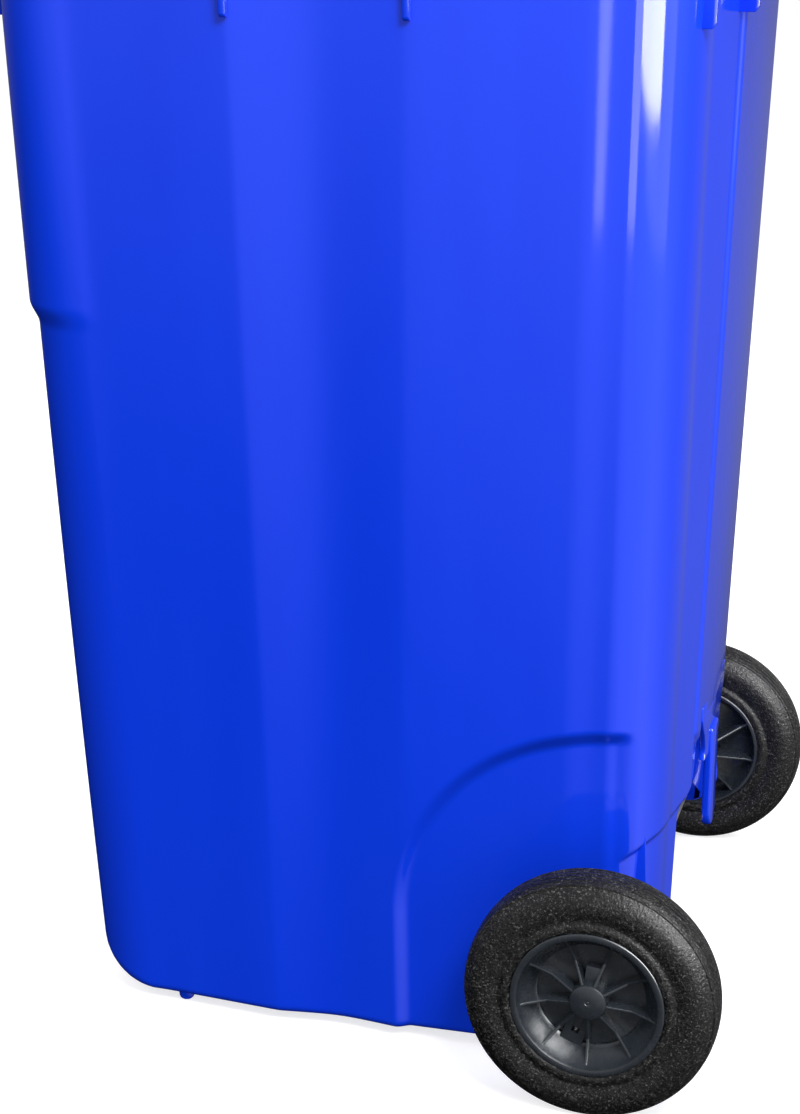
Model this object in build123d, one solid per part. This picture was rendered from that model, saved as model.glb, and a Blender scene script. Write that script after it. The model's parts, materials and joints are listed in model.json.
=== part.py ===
from build123d import *

import os
from math import cos, pi, radians, sin, sqrt

# A two-wheeled 240 litre wheelie bin. The front faces -Y, the wheels are at +X and -X, +Z is up, and the
# origin is on the ground at the middle of the bin's overall width and depth.

# Overall
FRONT_Y = -365.0
REAR_Y = 365.0
TOP_Z = 1065.0

# Container walls: (height, value) pairs, straight in between
WALL = 4.0
BASE_Z = 8.0
SIDE_X = ((8, 203.0), (1001, 268.5))
FRONT_WALL_Y = ((8, -294.6), (109, -298.7), (262, -304.2), (437, -309.5), (587, -313.3),
                (606, -319.7), (714, -321.9), (1001, -325.8))
REAR_WALL_Y = ((8, 197.3), (1001, 224.3))
RIDGE_A_Y = ((8, -118.0), (1001, -126.0))
VALLEY_Y = ((8, -66.0), (1001, -60.0))
RIDGE_B_Y = ((8, -11.0), (1001, 12.0))
RIDGE_OUT = 7.5
FRONT_CORNER_R = 60.0
REAR_CORNER_R = 45.0
REAR_CORNER_RX = 85.0
REAR_SLANT = 0.14
PANEL_HALF_X = ((245, 80.0), (1001, 105.0))
FRONT_EDGE_R = 37.0
SIDE_EDGE_R = 8.0

# Wheels, axle and catches
AXLE_Y = 160.0
AXLE_Z = 100.0
AXLE_R = 10.0
AXLE_END_X = 283.0
AXLE_CHAMFER = 1.5
RUN_GAP = 0.05
GROOVE_R = 7.0
GROOVE_X = (266.0, 272.0)
TYRE_R = 100.0
TYRE_MID_X = 269.4
TYRE_WIDTH = 46.0
TREAD_HALF = 13.0
GROOVE_W = 1.6
GROOVE_FOOT_R = 98.0
SEAT_R = 60.2
RIM_FACE_X = 292.6
RIM_BACK_X = 247.5
RIM_LIP_R = 54.8
DISH_R = 46.0
WEB_X = (266.0, 270.0)
HUB_R = 14.5
HUB_BACK_X = 222.0
HUB_FACE_X = 287.3
HUB_CAP_X = 283.4
SPOKES = 9
SPOKE_T = 2.4
CATCH_ANGLE = 250.0
CATCH_X = (266.5, 271.5)
CATCH_HALF_W = 6.0
CATCH_TIP_R = 7.4
CATCH_HEAD_R = 30.0
CATCH_BOX_X = (263.0, 275.0)
CATCH_BOX_HALF_W = 9.0
CATCH_BOX_R = 44.5
CATCH_GAP = 0.15
NIB_HALF_W = 2.8
NIB_R = (17.5, 30.0)
WINDOW_HALF_W = 3.0
WINDOW_R = (17.0, 35.5)
STOP_ANGLE = 84.0
STOP_X = (263.0, 279.0)
STOP_HALF_W = 6.0
STOP_R = (12.0, 27.0)
SPRING_END_R = 41.0
SPRING_R = 1.95
SPRING_WIRE_R = 0.4
SPRING_TURNS = 6

# Wheel-arch recess and axle tunnel, in the YZ plane
ARCH_CENTRE_Z = 120.0
ARCH_R = 170.0
ARCH_DEPTH = 5.5
TUNNEL_HALF_X = 184.0
BRACKET_SKIN = 4.0
BRACKET_END_R = 30.0
BRACKET_REAR_Y = 186.0
APRON_IN_X = 104.0
APRON_FOOT_Z = 100.0
APRON_EDGE_Y = (176.0, 198.0)
APRON_EDGE_Z = 110.0
APRON_EDGE_R = 25.0
BOSS_R = 19.0
BOSS_END_X = 221.5
TUNNEL_ROOF_Z = 245.0
TONGUE_HALF_X = 15.0
TONGUE_Y = (203.4, 211.2)
TONGUE_TIP_Z = 132.0
FLAP_Y = (198.0, 208.3)
FLAP_CORNERS = ((-62, 252), (-62, 240), (-46, 222), (-15, 205), (15, 205), (46, 222), (62, 240), (62, 252))

# Collar under the lid
COLLAR_HALF_X = 284.0
COLLAR_Y = (-358.0, 250.0)
COLLAR_R = 62.0
COLLAR_Z = (962.0, 1000.0)
COLLAR_T = 4.0
GUSSET_T = 5.0
GUSSET_OUT = 10.0
GUSSET_FOOT_Z = 824.0
FRONT_RIB_X = 205.0
GUSSET_DEPTH = 24.0
REAR_RIBS = ((107.0, 13.5), (202.0, -3.5))
COMB_PITCH = 40.0
COMB_SIDE = 6
COMB_T = 3.0
PANEL_OUT = 5.0

# Hinge, handles and lid
HINGE_Y = 325.0
HINGE_Z = 1003.0
PIN_R = 6.0
PIN_HEAD_R = 9.0
PIN_HEAD_T = 4.0
BOSS_HINGE_R = 14.0
CENTRE_LUG_X = (55.0, 67.0)
KNUCKLE_X = (67.6, 101.4)
INNER_LUG_X = (102.0, 112.0)
OUTER_LUG_X = (225.0, 235.0)
KNUCKLE_R = 12.0
LUG_ROOT = 30.0
HANDLE_R = 13.0
HANDLE_Z = 985.0
LID_HALF_X = 288.0
LID_Y = (-362.0, 263.0)
LID_R = 64.0
LID_T = 3.0
LID_SKIRT_Z = 986.0
LID_STEPS = ((0.0, 1014.0), (8.0, 1023.0), (40.0, 1041.0), (90.0, 1057.0), (150.0, TOP_Z))
LID_GRIP_HALF_X = 130.0


def at(table, z):
    """Straight-line value of a (height, value) table at height z."""
    for (z0, v0), (z1, v1) in zip(table, table[1:]):
        if z <= z1:
            return v0 + (v1 - v0) * (z - z0) / (z1 - z0)
    return table[-1][1]


def edge_inset(z, floor, radius):
    """How far a rounded bottom edge of this radius stands in from the wall at height z."""
    if z >= floor + radius:
        return 0.0
    drop = floor + radius - z
    return radius - sqrt(max(radius * radius - drop * drop, 0.0))


def wall_plan(z, inset=0.0):
    """The container's outline at height z, moved inwards by inset."""
    floor = BASE_Z + inset
    side_in = inset + edge_inset(z, floor, SIDE_EDGE_R)
    front = at(FRONT_WALL_Y, z) + inset + edge_inset(z, floor, FRONT_EDGE_R)
    rear = at(REAR_WALL_Y, z) - side_in
    side = at(SIDE_X, z) - side_in
    front_r = FRONT_CORNER_R - inset
    rear_r = REAR_CORNER_R - inset
    rear_rx = REAR_CORNER_RX - inset
    panel = at(PANEL_HALF_X, z)
    corner_y = rear - REAR_SLANT * (side - rear_rx - panel)
    ridge_a = (side + RIDGE_OUT, at(RIDGE_A_Y, z))
    valley = (side, at(VALLEY_Y, z))
    ridge_b = (side + RIDGE_OUT, at(RIDGE_B_Y, z))
    front_end = (side, front + front_r)
    front_start = (side - front_r, front)
    rear_end = (side, corner_y - rear_r)
    rear_start = (side - rear_rx, corner_y)
    k = 1 - cos(pi / 4)
    front_mid = (side - front_r * k, front + front_r * k)
    rear_mid = (side - rear_rx * k, corner_y - rear_r * k)

    def flip(p):
        return (-p[0], p[1])

    corners = [front_end, ridge_a, valley, ridge_b, rear_end]
    right = [Line(a, b) for a, b in zip(corners, corners[1:])]
    left = [Line(flip(b), flip(a)) for a, b in reversed(list(zip(corners, corners[1:])))]
    edges = [Line(flip(front_start), front_start), ThreePointArc(front_start, front_mid, front_end)]
    edges += right + [ThreePointArc(rear_end, rear_mid, rear_start), Line(rear_start, (panel, rear))]
    edges += [Line((panel, rear), (-panel, rear)), Line((-panel, rear), flip(rear_start))]
    edges += [ThreePointArc(flip(rear_start), flip(rear_mid), flip(rear_end))] + left
    edges += [ThreePointArc(flip(front_end), flip(front_mid), flip(front_start))]
    return Plane((0, 0, z)) * make_face(Wire(edges))


def wall_solid(inset=0.0, top=1000.0):
    """The container's outside, or with an inset the space that lies that far inside it."""
    floor = BASE_Z + inset
    levels = [floor, floor + 3, floor + SIDE_EDGE_R, floor + 20, floor + FRONT_EDGE_R]
    levels += [z for z, _ in FRONT_WALL_Y[2:-1]] + [top]
    return loft([wall_plan(z, inset) for z in levels], ruled=True)


def rounded_plan(half_x, y_range, radius, z):
    """A flat rectangle with round corners at height z."""
    depth = y_range[1] - y_range[0]
    middle = (y_range[0] + y_range[1]) / 2
    return Pos(0, middle, z) * RectangleRounded(2 * half_x, depth, radius)


def plate_yz(points, x_range):
    """A plate in the YZ plane, from x_range[0] to x_range[1], through (y, z) corners."""
    face = Plane.YZ * make_face(Polyline(*points, close=True))
    return Pos(x_range[0], 0, 0) * extrude(face, x_range[1] - x_range[0])


def rod_x(radius, x_range, y, z):
    """A round bar along X."""
    length = x_range[1] - x_range[0]
    return Pos(x_range[0] + length / 2, y, z) * Rot(0, 90, 0) * Cylinder(radius, length)


def both_sides(shape):
    """The shape and its mirror image in the YZ plane."""
    return [shape, mirror(shape, about=Plane.YZ)]


def arch_outline(grow=0.0):
    """The wheel-arch recess from the side, made larger all round by grow."""
    r = ARCH_R + grow
    left = AXLE_Y - r
    right_y = AXLE_Y + 11 + grow
    end_angle = radians(86)
    top = (AXLE_Y + r * cos(end_angle), ARCH_CENTRE_Z + r * sin(end_angle))
    middle = (AXLE_Y + r * cos(radians(133)), ARCH_CENTRE_Z + r * sin(radians(133)))
    start = (left, ARCH_CENTRE_Z)
    below = -20.0
    lines = [
        ThreePointArc(start, middle, top),
        Line(top, (right_y, 180 + grow)),
        Line((right_y, 180 + grow), (AXLE_Y + 90, 190 + grow)),
        Line((AXLE_Y + 90, 190 + grow), (AXLE_Y + 90, below)),
        Line((AXLE_Y + 90, below), (left, below)),
        Line((left, below), start),
    ]
    return Plane.YZ * make_face(Wire(lines))


def with_arches(skin, inner_skin, grow=0.0):
    """The skin, stepped in to inner_skin behind each wheel arch."""
    block = Pos(150, 0, 0) * extrude(arch_outline(grow), 120)
    right = block - inner_skin
    for cutter in both_sides(right):
        skin = skin - cutter
    return skin


def tunnel(grow=0.0):
    """The space under the rear of the container that the axle runs through."""
    return [
        (95 - grow, -20), (95 - grow, 70), (108 - grow, 150 + grow), (190 - grow / 2, TUNNEL_ROOF_Z + grow),
        (290, TUNNEL_ROOF_Z + grow), (290, -20),
    ]


def tunnel_cuts():
    """The tunnel between the brackets, which leaves an apron of the rear wall at each side of its mouth."""
    between = (-TUNNEL_HALF_X, TUNNEL_HALF_X)
    mouth = plate_yz(tunnel(), (-APRON_IN_X, APRON_IN_X))
    inside_walls = plate_yz(tunnel(), between) & wall_solid(WALL)
    below = [(95, -20), (95, 70), (99.5, APRON_FOOT_Z), (290, APRON_FOOT_Z), (290, -20)]
    return [mouth, inside_walls, plate_yz(below, between)]


def apron_edge():
    """The turned-in edge of an apron, rounded at its lower front corner."""
    r = APRON_EDGE_R
    front, rear = APRON_EDGE_Y
    centre = (front + r, APRON_EDGE_Z + r)
    start = (front, centre[1])
    middle = (centre[0] - r * cos(pi / 4), centre[1] - r * sin(pi / 4))
    end = (rear, centre[1] - sqrt(r * r - (centre[0] - rear) ** 2))
    corners = [end, (rear, 247), (190, 247), (front, 231), start]
    lines = [ThreePointArc(start, middle, end)] + [Line(a, b) for a, b in zip(corners, corners[1:])]
    face = Plane.YZ * make_face(Wire(lines))
    return Pos(APRON_IN_X, 0, 0) * extrude(face, WALL)


def under_brackets():
    """The space round the right bracket's lower end, which is rounded about the axle line."""
    r = BRACKET_END_R
    start = (AXLE_Y + r * cos(radians(215)), AXLE_Z + r * sin(radians(215)))
    bottom = (AXLE_Y, AXLE_Z - r)
    end = (AXLE_Y + r, AXLE_Z)
    corners = [end, (BRACKET_REAR_Y, 190), (290, 190), (290, -20), (104, -20), (104, 14), start]
    lines = [ThreePointArc(start, bottom, end)] + [Line(a, b) for a, b in zip(corners, corners[1:])]
    face = Plane.YZ * make_face(Wire(lines))
    return Pos(TUNNEL_HALF_X - 1, 0, 0) * extrude(face, 120)


def bracket_pocket():
    """The hollow between a bracket's inner plate and the outer skin, open underneath."""
    points = [(100, -20), (100, 68), (113, 145), (168, 212), (180, 212), (180, -20)]
    pocket = plate_yz(points, (TUNNEL_HALF_X + BRACKET_SKIN, 193.0))
    return pocket - rod_x(BOSS_R, (180, 200), AXLE_Y, AXLE_Z)


def collar():
    """The flange round the mouth with its downturned skirt."""
    outer_low = rounded_plan(COLLAR_HALF_X, COLLAR_Y, COLLAR_R, COLLAR_Z[0])
    ring = extrude(outer_low, COLLAR_Z[1] - COLLAR_Z[0])
    inside_y = (COLLAR_Y[0] + COLLAR_T, COLLAR_Y[1] - COLLAR_T)
    inside = rounded_plan(COLLAR_HALF_X - COLLAR_T, inside_y, COLLAR_R - COLLAR_T, COLLAR_Z[0] - 1)
    return ring - extrude(inside, COLLAR_Z[1] - COLLAR_Z[0] - COLLAR_T + 1)


def side_gusset(y, low_out):
    """One upright rib under the collar on a side wall."""
    x_low = at(SIDE_X, GUSSET_FOOT_Z) + low_out
    x_high = at(SIDE_X, COLLAR_Z[1]) + low_out
    corners = [
        (x_low - 25, GUSSET_FOOT_Z), (x_low - 2, GUSSET_FOOT_Z), (x_low, GUSSET_FOOT_Z + 4),
        (x_high, COLLAR_Z[1] - 2), (x_high - 25, COLLAR_Z[1] - 2),
    ]
    face = Plane.XZ * make_face(Polyline(*corners, close=True))
    return Pos(0, y + GUSSET_T / 2, 0) * extrude(face, GUSSET_T)


def end_gusset(x, table, sign, out):
    """One upright rib under the collar, standing out from the line of the front (-1) or rear (+1) wall."""
    low = at(table, GUSSET_FOOT_Z) + sign * out
    high = at(table, COLLAR_Z[1]) + sign * out
    corners = [
        (low - sign * GUSSET_DEPTH, GUSSET_FOOT_Z), (low - sign * 2, GUSSET_FOOT_Z),
        (low, GUSSET_FOOT_Z + 4), (high, COLLAR_Z[1] - 2), (high - sign * GUSSET_DEPTH, COLLAR_Z[1] - 2),
    ]
    return plate_yz(corners, (x - GUSSET_T / 2, x + GUSSET_T / 2))


def gussets():
    """All ribs under the collar, with the comb pockets' partitions at the front."""
    ribs = []
    for y, out in ((at(RIDGE_A_Y, 900), 13.0), (at(RIDGE_B_Y, 900), 14.0)):
        ribs += both_sides(side_gusset(y, out))
    ribs += both_sides(end_gusset(FRONT_RIB_X, FRONT_WALL_Y, -1, GUSSET_OUT))
    for x, out in REAR_RIBS:
        ribs += both_sides(end_gusset(x, REAR_WALL_Y, 1, out))
    front_wall = at(FRONT_WALL_Y, COLLAR_Z[0])
    for i in range(-COMB_SIDE, COMB_SIDE + 1):
        x = i * COMB_PITCH
        corners = [
            (front_wall + 10, COLLAR_Z[0] - 12), (front_wall - 8, COLLAR_Z[0] - 12),
            (COLLAR_Y[0] + COLLAR_T / 2, COLLAR_Z[0]), (COLLAR_Y[0] + COLLAR_T / 2, COLLAR_Z[1] - 2),
            (front_wall + 10, COLLAR_Z[1] - 2),
        ]
        if abs(x) <= FRONT_RIB_X:
            ribs.append(plate_yz(corners, (x - COMB_T / 2, x + COMB_T / 2)))
    return ribs


def lug(x_range, holds_handle):
    """A hinge lug on the rear wall. The two outer ones also hold the handle bar."""
    wall = at(REAR_WALL_Y, 970) - LUG_ROOT
    handle_y = REAR_Y - HANDLE_R
    tail = [(HINGE_Y - 13, HINGE_Z - 8), (HINGE_Y + 8, HINGE_Z - 10), (HINGE_Y - 20, HINGE_Z - 38)]
    if holds_handle:
        tail = [
            (HINGE_Y - 13, HINGE_Z - 6), (HINGE_Y + 10, HINGE_Z + 9), (handle_y + 8, HANDLE_Z + 9),
            (handle_y + 6, HANDLE_Z - 11), (handle_y - 6, HANDLE_Z - 11.5),
        ]
    points = [(wall, 974), (262, 976)] + tail + [(wall + LUG_ROOT + 6, 938), (wall, 930)]
    shape = plate_yz(points, x_range) + rod_x(BOSS_HINGE_R, x_range, HINGE_Y, HINGE_Z)
    if holds_handle:
        shape += rod_x(HANDLE_R, x_range, handle_y, HANDLE_Z)
    return shape


def handles_and_lugs():
    """The hinge lugs and the two grip bars between them."""
    bar = rod_x(HANDLE_R, (INNER_LUG_X[0] + 2, OUTER_LUG_X[1] - 2), REAR_Y - HANDLE_R, HANDLE_Z)
    side = lug(CENTRE_LUG_X, False) + lug(INNER_LUG_X, True) + lug(OUTER_LUG_X, True) + bar
    return both_sides(side)


def rear_panel():
    """The raised panel down the middle of the rear wall."""
    sections = []
    for z in (TUNNEL_ROOF_Z, COLLAR_Z[1] - 2):
        half = at(PANEL_HALF_X, z)
        wall = at(REAR_WALL_Y, z)
        corners = [
            (-half - 4, wall - 3), (half + 4, wall - 3), (half, wall + PANEL_OUT), (-half, wall + PANEL_OUT),
        ]
        sections.append(Plane((0, 0, z)) * make_face(Polyline(*corners, close=True)))
    return loft(sections, ruled=True)


def tongue():
    """The flap under the rear panel and the narrow tab that hangs from it, behind the axle tunnel."""
    top = TUNNEL_ROOF_Z - 12
    flat = Plane.XZ * RectangleRounded(2 * TONGUE_HALF_X, top - TONGUE_TIP_Z, TONGUE_HALF_X - 1)
    tab = Pos(0, TONGUE_Y[1], (TONGUE_TIP_Z + top) / 2) * extrude(flat, TONGUE_Y[1] - TONGUE_Y[0])
    outline = Plane.XZ * make_face(Polyline(*FLAP_CORNERS, close=True))
    return tab + Pos(0, FLAP_Y[1], 0) * extrude(outline, FLAP_Y[1] - FLAP_Y[0])


def foot_nub():
    """A small moulded foot under the front of the base."""
    nub = Pos(192, AXLE_Y - 367, 7) * Cylinder(6.5, 14)
    return fillet(nub.edges().sort_by(Axis.Z)[0], 4.0)


def make_body():
    """The moulded container with everything that is part of the same moulding."""
    outside = wall_solid()
    outside = with_arches(outside, wall_solid(ARCH_DEPTH))
    for cut in tunnel_cuts() + both_sides(under_brackets()):
        outside -= cut
    outside = outside + rear_panel() + collar()
    for shape in gussets() + handles_and_lugs() + both_sides(foot_nub()):
        outside += shape
    inside = wall_solid(WALL, top=1001.0)
    inside = with_arches(inside, wall_solid(WALL + ARCH_DEPTH, top=1001.0), grow=WALL)
    inside -= plate_yz(tunnel(WALL), (-300, 300))
    body = outside - inside + tongue()
    for shape in both_sides(apron_edge()):
        body += shape
    boss = rod_x(BOSS_R, (TUNNEL_HALF_X, BOSS_END_X), AXLE_Y, AXLE_Z)
    for shape in both_sides(boss):
        body += shape
    for shape in both_sides(bracket_pocket()):
        body -= shape
    body -= rod_x(AXLE_R + RUN_GAP, (-AXLE_END_X, AXLE_END_X), AXLE_Y, AXLE_Z)
    return body - rod_x(PIN_R + RUN_GAP, (-300, 300), HINGE_Y, HINGE_Z)


def make_lid():
    """The domed lid with its skirt, front grip and hinge arms."""
    def dome(inset, drop):
        levels = [(0.0, LID_SKIRT_Z - (1 if inset else 0))] + [(s, z - drop) for s, z in LID_STEPS]
        faces = []
        for step, z in levels:
            half = LID_HALF_X - inset - step
            y_range = (LID_Y[0] + inset + step, LID_Y[1] - inset - step)
            faces.append(rounded_plan(half, y_range, LID_R - inset - step * 0.2, z))
        return loft(faces, ruled=True)

    shell = dome(0.0, 0.0) - dome(LID_T, LID_T)
    shell -= Pos(0, LID_Y[1], LID_SKIRT_Z) * Box(2 * 245, 40, 2 * 8)
    grip_depth = 12.0
    grip = Pos(0, FRONT_Y + grip_depth / 2, 1000) * Box(2 * LID_GRIP_HALF_X, grip_depth, 12)
    inner_trim = Pos(0, LID_Y[0] + LID_T + 10, 1000) * Box(2 * LID_GRIP_HALF_X, 20, 14)
    shell += grip - inner_trim
    for x0, x1 in (KNUCKLE_X, (-KNUCKLE_X[1], -KNUCKLE_X[0])):
        rear = LID_Y[1]
        points = [
            (rear - 22, 1019), (rear - 2, 1002), (HINGE_Y - 4, HINGE_Z - 8), (HINGE_Y + 2, HINGE_Z + 10),
            (rear - 6, 1026), (rear - 24, 1034),
        ]
        shell += plate_yz(points, (x0, x1)) + rod_x(KNUCKLE_R, (x0, x1), HINGE_Y, HINGE_Z)
    return shell - rod_x(PIN_R + RUN_GAP + 0.03, (-300, 300), HINGE_Y, HINGE_Z)


def make_hinge_pin():
    """A headed hinge pin, put in from the middle of the bin outwards."""
    shank = rod_x(PIN_R, (CENTRE_LUG_X[0] - 1, INNER_LUG_X[1]), HINGE_Y, HINGE_Z)
    head = rod_x(PIN_HEAD_R, (CENTRE_LUG_X[0] - 0.1 - PIN_HEAD_T, CENTRE_LUG_X[0] - 0.1), HINGE_Y, HINGE_Z)
    return shank + head


def make_axle():
    """The steel bar with a catch groove near each end."""
    bar = Rot(0, 90, 0) * Cylinder(AXLE_R, 2 * AXLE_END_X)
    bar = chamfer(bar.edges().filter_by(GeomType.CIRCLE), AXLE_CHAMFER)
    width = GROOVE_X[1] - GROOVE_X[0]
    ring = Rot(0, 90, 0) * (Cylinder(AXLE_R + 2, width) - Cylinder(GROOVE_R, width))
    middle = (GROOVE_X[0] + GROOVE_X[1]) / 2
    bar = bar - Pos(middle, 0, 0) * ring - Pos(-middle, 0, 0) * ring
    return Pos(0, AXLE_Y, AXLE_Z) * bar


def turned(points):
    """A solid turned about the X axis from (x, radius) corners, arcs given as three-point lists."""
    edges = []
    for item, following in zip(points, points[1:] + points[:1]):
        start = item[-1] if isinstance(item, list) else item
        end = following[0] if isinstance(following, list) else following
        if isinstance(item, list):
            edges.append(ThreePointArc(*item))
        if start != end:
            edges.append(Line(start, end))
    return revolve(make_face(Wire(edges)), Axis.X, 360)


def make_tyre():
    """The right tyre, centred on the axle line, with three of the tread's grooves."""
    half = TYRE_WIDTH / 2
    m = TYRE_MID_X
    seat_half = half - 1.3
    outline = [
        (m - seat_half, SEAT_R),
        [(m - seat_half, SEAT_R + 3), (m - half, 74.0), (m - TREAD_HALF, 97.4)],
        [(m - TREAD_HALF + 1, 98.6), (m, TYRE_R), (m + TREAD_HALF - 1, 98.6)],
        [(m + TREAD_HALF, 97.4), (m + half, 74.0), (m + seat_half, SEAT_R + 3)],
        (m + seat_half, SEAT_R),
    ]
    tyre = turned(outline)
    for offset in (-7.0, 0.0, 7.0):
        x0 = m + offset - GROOVE_W / 2
        x1 = m + offset + GROOVE_W / 2
        tyre -= turned([(x0, GROOVE_FOOT_R), (x1, GROOVE_FOOT_R), (x1, TYRE_R + 1), (x0, TYRE_R + 1)])
    return tyre


def catch_frame(shape):
    """Turn a shape from straight up to the catch's direction round the axle."""
    return Rot(CATCH_ANGLE - 90, 0, 0) * shape


def catch_block(x_range, half_w, r_range):
    """A radial block, drawn standing straight up from the axle."""
    x0, x1 = x_range
    r0, r1 = r_range
    return Pos((x0 + x1) / 2, 0, (r0 + r1) / 2) * Box(x1 - x0, 2 * half_w, r1 - r0)


def make_rim():
    """The right wheel centre, with its dish, ribs, hub and catch box."""
    barrel = turned([
        (RIM_BACK_X, SEAT_R - 0.05), (RIM_BACK_X, 56.5), (WEB_X[0] - 6, 54.5), (WEB_X[0], 48.0), (WEB_X[0], 12.0),
        (WEB_X[1], 12.0), [(WEB_X[1], DISH_R - 4), (WEB_X[1] + 5, DISH_R + 1), (RIM_FACE_X - 2.5, RIM_LIP_R - 1)],
        (RIM_FACE_X, RIM_LIP_R), (RIM_FACE_X, SEAT_R - 0.05),
    ])
    hub = turned([
        (HUB_BACK_X, 0), (HUB_BACK_X, HUB_R), (HUB_FACE_X - 1, HUB_R), (HUB_FACE_X, HUB_R - 1.4), (HUB_FACE_X, 0),
    ])
    spokes = []
    front = [
        (12.0, WEB_X[0] + 1), (12.0, HUB_FACE_X - 1.5), (34.0, 281.0), (49.0, 285.6), (55.5, 289.4),
        (56.5, WEB_X[0] + 1),
    ]
    back = [
        (12.0, WEB_X[1] - 1), (12.0, HUB_BACK_X + 10), (50.0, WEB_X[0] - 16), (56.5, WEB_X[0] - 16),
        (56.5, WEB_X[1] - 1),
    ]
    for i in range(SPOKES):
        turn = -180 + i * 360 / SPOKES
        for outline in (front, back):
            face = Plane.XZ * make_face(Polyline(*[(x, r) for r, x in outline], close=True))
            plate = Pos(0, SPOKE_T / 2, 0) * extrude(face, SPOKE_T)
            spokes.append(Rot(turn, 0, 0) * plate)
    rim = barrel + hub
    for spoke in spokes:
        rim += spoke
    rim += catch_frame(catch_block(CATCH_BOX_X, CATCH_BOX_HALF_W, (12, CATCH_BOX_R)))
    rim += Rot(STOP_ANGLE - 90, 0, 0) * catch_block(STOP_X, STOP_HALF_W, STOP_R)
    channel_x = (CATCH_X[0] - CATCH_GAP, CATCH_X[1] + CATCH_GAP)
    rim -= catch_frame(catch_block(channel_x, CATCH_HALF_W + CATCH_GAP, (5.0, SPRING_END_R + 0.1)))
    rim -= catch_frame(catch_block((CATCH_X[1] - 1, CATCH_BOX_X[1] + 12), WINDOW_HALF_W, WINDOW_R))
    rim -= rod_x(AXLE_R + RUN_GAP, (HUB_BACK_X - 1, HUB_CAP_X), 0, 0)
    return rim


def make_catch():
    """The sliding catch, with its forked tip in the axle's groove and a nib to lift it by."""
    plate = catch_block(CATCH_X, CATCH_HALF_W, (CATCH_TIP_R, CATCH_HEAD_R))
    nib = catch_block((CATCH_X[1] - 0.5, CATCH_BOX_X[1] + 1), NIB_HALF_W, NIB_R)
    return catch_frame(plate + nib)


def make_spring():
    """The catch's coil spring, between the catch and the end of its channel."""
    height = SPRING_END_R - CATCH_HEAD_R - 2 * SPRING_WIRE_R - 0.2
    coil = Helix(height / SPRING_TURNS, height, SPRING_R - SPRING_WIRE_R)
    start = Plane(coil @ 0, z_dir=coil % 0)
    wire = sweep(start * Circle(SPRING_WIRE_R), path=coil, is_frenet=True)
    middle = (CATCH_X[0] + CATCH_X[1]) / 2
    return catch_frame(Pos(middle, 0, CATCH_HEAD_R + SPRING_WIRE_R + 0.1) * wire)


def to_axle(shape):
    """Move a wheel piece from the X axis to the axle line."""
    return Pos(0, AXLE_Y, AXLE_Z) * shape


def save(name, shape):
    """Write one node's STEP file."""
    export_step(shape, f"parts/{name}.step")


def main():
    os.makedirs("parts", exist_ok=True)
    save("body", make_body())
    save("lid", make_lid())
    save("axle", make_axle())
    pairs = {
        "hinge_pin": make_hinge_pin(),
        "tyre": to_axle(make_tyre()),
        "wheel_rim": to_axle(make_rim()),
        "wheel_latch": to_axle(make_catch()),
        "latch_spring": to_axle(make_spring()),
    }
    for name, shape in pairs.items():
        right, left = both_sides(shape)
        save(f"{name}_right", right)
        save(f"{name}_left", left)


main()
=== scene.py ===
import json
from math import cos, pi, radians, sin

import bmesh
import bpy
import numpy as np
from mathutils import Matrix, Vector


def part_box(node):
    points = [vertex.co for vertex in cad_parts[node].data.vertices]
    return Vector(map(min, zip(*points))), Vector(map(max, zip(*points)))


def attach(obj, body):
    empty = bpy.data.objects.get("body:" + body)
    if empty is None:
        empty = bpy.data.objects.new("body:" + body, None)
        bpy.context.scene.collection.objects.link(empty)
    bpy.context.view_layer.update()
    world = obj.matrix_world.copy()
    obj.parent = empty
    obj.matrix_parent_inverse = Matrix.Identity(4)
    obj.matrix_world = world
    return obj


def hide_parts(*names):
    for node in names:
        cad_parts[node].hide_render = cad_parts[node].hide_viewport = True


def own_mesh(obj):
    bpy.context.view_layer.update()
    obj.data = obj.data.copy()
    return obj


# A two-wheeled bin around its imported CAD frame. Shapes are worked out in millimetres in the row frame and
# turned into metres as each mesh is made. The front faces -Y and +Z is up.

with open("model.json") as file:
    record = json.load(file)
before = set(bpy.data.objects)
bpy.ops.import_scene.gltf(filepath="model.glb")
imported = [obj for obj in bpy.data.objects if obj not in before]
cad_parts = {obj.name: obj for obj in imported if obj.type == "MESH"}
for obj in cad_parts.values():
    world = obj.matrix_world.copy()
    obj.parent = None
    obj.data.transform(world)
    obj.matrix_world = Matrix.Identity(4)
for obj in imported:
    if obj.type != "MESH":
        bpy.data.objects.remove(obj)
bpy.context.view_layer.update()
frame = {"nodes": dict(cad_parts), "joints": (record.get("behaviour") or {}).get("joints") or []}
MM = 0.001


def node_box(node):
    """A CAD node's lowest and highest corners, in millimetres."""
    low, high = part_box(node)
    return np.array(low) / MM, np.array(high) / MM


def joint_place(name):
    """Where a hinge stands, in millimetres."""
    found = [j for j in frame["joints"] if j["name"] == name][0]
    return np.array(found["pos_m"]) / MM


# Places from the frame
BODY_HIGH = node_box("body")[1]
LID_LOW, LID_HIGH = node_box("lid")
TYRE_LOW, TYRE_HIGH = node_box("tyre_right")
RIM_FACE = node_box("wheel_rim_right")[1][0]
AXLE_Y, AXLE_Z = joint_place("wheel_right_spin")[1:]
HINGE_Y, HINGE_Z = joint_place("lid_hinge")[1:]

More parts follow.
